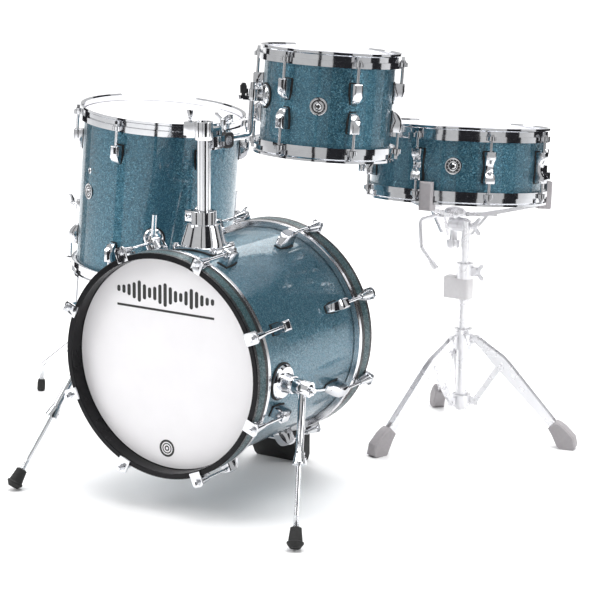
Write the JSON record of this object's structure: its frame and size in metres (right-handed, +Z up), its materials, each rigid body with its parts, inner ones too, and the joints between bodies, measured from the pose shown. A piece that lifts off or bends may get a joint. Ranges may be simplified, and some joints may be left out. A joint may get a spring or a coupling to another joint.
{
  "type": "acoustic drum kit",
  "caption": "Compact acoustic drum kit: sparkle-wrapped bass drum on spurs with post-mounted rack tom, legged floor tom, and a snare drum on a folding basket stand.",
  "frame": {"origin": "centre of the overall footprint, at floor level", "axes": "+Z up; -Y the front, where the bass drum's front head faces; +X to the right seen from the front"},
  "size_m": [1.2156, 1.041, 0.8646],
  "materials": {
    "wrap": "sparkle wrap under gloss lacquer",
    "black_gloss": "black lacquered maple with sparkle inlay",
    "head_white": "smooth white film",
    "aluminium": "satin",
    "chrome": "polished",
    "steel": "bright wire",
    "black_rubber": "matte",
    "black_plastic": "satin",
    "pale_steel": "pale satin",
    "pale_plastic": "satin"
  },
  "bodies": {
    "bass_drum": {"bass_shell": "wrap", "bass_front_hoop": "black_gloss", "bass_rear_hoop": "black_gloss", "bass_front_head": "head_white", "bass_rear_head": "head_white", "bass_flesh_hoops": "aluminium", "bass_lugs": "chrome", "bass_tension_rods": "chrome", "bass_claws": "chrome", "bass_riser": "black_rubber", "post_receiver": "chrome", "spur_brackets": "chrome"},
    "spur_left": {"spur_tube_left": "chrome"},
    "spur_right": {"spur_tube_right": "chrome"},
    "spur_left_rod": {"spur_rod_left": "chrome"},
    "spur_right_rod": {"spur_rod_right": "chrome"},
    "tom_post": {"tom_post": "chrome"},
    "post_clamp": {"post_clamp": "chrome", "arm_knob": "black_plastic"},
    "tom_arm": {"tom_arm": "chrome"},
    "rack_tom": {"tom_bracket": "chrome", "tom_bracket_wing": "black_plastic", "tom_shell": "wrap", "tom_hoops": "chrome", "tom_heads": "head_white", "tom_lugs": "chrome", "tom_rods": "chrome"},
    "floor_tom": {"floor_shell": "wrap", "floor_hoops": "chrome", "floor_heads": "head_white", "floor_lugs": "chrome", "floor_rods": "chrome", "floor_leg_brackets": "chrome"},
    "floor_leg_1": {"floor_leg_1": "chrome"},
    "floor_leg_2": {"floor_leg_2": "chrome"},
    "floor_leg_3": {"floor_leg_3": "chrome"},
    "snare_drum": {"snare_shell": "wrap", "snare_hoops": "chrome", "snare_heads": "head_white", "snare_lugs": "chrome", "snare_rods": "chrome", "strainer_body": "chrome", "butt_plate": "chrome", "snare_wires": "steel"},
    "strainer_lever": {"strainer_lever": "chrome"},
    "stand_base": {"stand_base": "pale_steel", "stand_height_block": "pale_plastic"},
    "stand_collar": {"stand_collar": "pale_steel"},
    "stand_upper": {"stand_upper_tube": "pale_steel"},
    "basket": {"basket_hub": "pale_steel", "basket_handle": "pale_steel"},
    "stand_leg_1": {"stand_leg_1": "pale_steel"},
    "stand_strut_1": {"stand_strut_1": "pale_steel"},
    "basket_arm_1": {"basket_arm_1": "pale_steel"},
    "stand_leg_2": {"stand_leg_2": "pale_steel"},
    "stand_strut_2": {"stand_strut_2": "pale_steel"},
    "basket_arm_2": {"basket_arm_2": "pale_steel"},
    "stand_leg_3": {"stand_leg_3": "pale_steel"},
    "stand_strut_3": {"stand_strut_3": "pale_steel"},
    "basket_arm_3": {"basket_arm_3": "pale_steel"}
  },
  "joints": [
    {"name": "spur_left_fold", "type": "hinge", "parent": "bass_drum", "child": "spur_left", "pos_m": [-0.12939, -0.36527, 0.26238], "axis": [0.9947, 0, 0.1028], "range_deg": [-12, 100]},
    {"name": "spur_left_length", "type": "slide", "parent": "spur_left", "child": "spur_left_rod", "axis": [-0.25, -0.4767, -0.8428], "range_m": [-0.06, 0.012]},
    {"name": "spur_right_fold", "type": "hinge", "parent": "bass_drum", "child": "spur_right", "pos_m": [0.36637, -0.36527, 0.26238], "axis": [0.9947, 0, -0.1028], "range_deg": [-12, 100]},
    {"name": "spur_right_length", "type": "slide", "parent": "spur_right", "child": "spur_right_rod", "axis": [0.25, -0.4767, -0.8428], "range_m": [-0.06, 0.012]},
    {"name": "post_height", "type": "slide", "parent": "bass_drum", "child": "tom_post", "axis": [0, 0, 1], "range_m": [-0.03, 0.05]},
    {"name": "head_swivel", "type": "hinge", "parent": "tom_post", "child": "post_clamp", "pos_m": [0.11849, -0.32387, 0.715], "axis": [0, 0, 1], "range_deg": [-25, 25]},
    {"name": "arm_tilt", "type": "hinge", "parent": "post_clamp", "child": "tom_arm", "pos_m": [0.12755, -0.26962, 0.691], "axis": [0.9863, -0.1647, 0], "range_deg": [-10, 12]},
    {"name": "tom_swing", "type": "hinge", "parent": "tom_arm", "child": "rack_tom", "pos_m": [0.14074, -0.19089, 0.76891], "axis": [0.0159, 0.0916, 0.9957], "range_deg": [-18, 18]},
    {"name": "floor_tom_place", "type": "slide", "parent": "bass_drum", "child": "floor_tom", "axis": [-1, 0, 0], "range_m": [0, 0.25]},
    {"name": "floor_leg_1_height", "type": "slide", "parent": "floor_tom", "child": "floor_leg_1", "axis": [0.0698, 0.018, 0.9974], "range_m": [-0.03, 0.1]},
    {"name": "floor_leg_2_height", "type": "slide", "parent": "floor_tom", "child": "floor_leg_2", "axis": [0.0698, 0.018, 0.9974], "range_m": [-0.03, 0.1]},
    {"name": "floor_leg_3_height", "type": "slide", "parent": "floor_tom", "child": "floor_leg_3", "axis": [0.0698, 0.018, 0.9974], "range_m": [-0.03, 0.1]},
    {"name": "stand_place", "type": "slide", "parent": "bass_drum", "child": "stand_base", "axis": [1, 0, 0], "range_m": [0, 0.25]},
    {"name": "collar_slide", "type": "slide", "parent": "stand_base", "child": "stand_collar", "axis": [0, 0, 1], "range_m": [0, 0.03]},
    {"name": "leg_1_fold", "type": "hinge", "parent": "stand_collar", "child": "stand_leg_1", "pos_m": [0.34614, 0.26951, 0.214], "axis": [0.9426, -0.3338, 0], "range_deg": [0, 26.4]},
    {"name": "strut_1_fold", "type": "hinge", "parent": "stand_base", "child": "stand_strut_1", "pos_m": [0.34681, 0.27139, 0.08], "axis": [-0.9426, 0.3338, 0], "range_deg": [0, 17.52]},
    {"name": "leg_2_fold", "type": "hinge", "parent": "stand_collar", "child": "stand_leg_2", "pos_m": [0.38697, 0.30438, 0.214], "axis": [-0.1822, 0.9833, 0], "range_deg": [0, 26.4]},
    {"name": "strut_2_fold", "type": "hinge", "parent": "stand_base", "child": "stand_strut_2", "pos_m": [0.385, 0.30401, 0.08], "axis": [0.1822, -0.9833, 0], "range_deg": [0, 17.52]},
    {"name": "leg_3_fold", "type": "hinge", "parent": "stand_collar", "child": "stand_leg_3", "pos_m": [0.33636, 0.3223, 0.214], "axis": [-0.7604, -0.6494, 0], "range_deg": [0, 26.4]},
    {"name": "strut_3_fold", "type": "hinge", "parent": "stand_base", "child": "stand_strut_3", "pos_m": [0.33766, 0.32078, 0.08], "axis": [0.7604, 0.6494, 0], "range_deg": [0, 17.52]},
    {"name": "stand_height", "type": "slide", "parent": "stand_base", "child": "stand_upper", "axis": [0, 0, 1], "range_m": [-0.025, 0.09]},
    {"name": "basket_tilt", "type": "hinge", "parent": "stand_upper", "child": "basket", "pos_m": [0.34249, 0.29873, 0.456], "axis": [1, 0, 0], "range_deg": [-6, 8]},
    {"name": "basket_arm_1_open", "type": "hinge", "parent": "basket", "child": "basket_arm_1", "pos_m": [0.33204, 0.27476, 0.48009], "axis": [0.9859, 0.1672, 0.0089], "range_deg": [0, 12]},
    {"name": "basket_arm_2_open", "type": "hinge", "parent": "basket", "child": "basket_arm_2", "pos_m": [0.34841, 0.31832, 0.47543], "axis": [-0.6358, 0.7642, -0.1086], "range_deg": [0, 12]},
    {"name": "basket_arm_3_open", "type": "hinge", "parent": "basket", "child": "basket_arm_3", "pos_m": [0.30231, 0.3105, 0.47502], "axis": [-0.3501, -0.9314, 0.0998], "range_deg": [0, 12]},
    {"name": "snare_lift", "type": "slide", "parent": "basket", "child": "snare_drum", "axis": [-0.0288, 0.1171, 0.9927], "range_m": [0, 0.08]},
    {"name": "strainer_throw", "type": "hinge", "parent": "snare_drum", "child": "strainer_lever", "pos_m": [0.14587, 0.23381, 0.60134], "axis": [0.4145, -0.9023, 0.1185], "range_deg": [0, 80]}
  ],
  "couplings": [
    {"joint": "leg_1_fold", "follows": "collar_slide", "rad_per_m": 15.183},
    {"joint": "strut_1_fold", "follows": "collar_slide", "rad_per_m": 10.021},
    {"joint": "leg_2_fold", "follows": "collar_slide", "rad_per_m": 15.183},
    {"joint": "strut_2_fold", "follows": "collar_slide", "rad_per_m": 10.021},
    {"joint": "leg_3_fold", "follows": "collar_slide", "rad_per_m": 15.183},
    {"joint": "strut_3_fold", "follows": "collar_slide", "rad_per_m": 10.021},
    {"joint": "basket_arm_2_open", "follows": "basket_arm_1_open", "ratio": 1},
    {"joint": "basket_arm_3_open", "follows": "basket_arm_1_open", "ratio": 1}
  ]
}
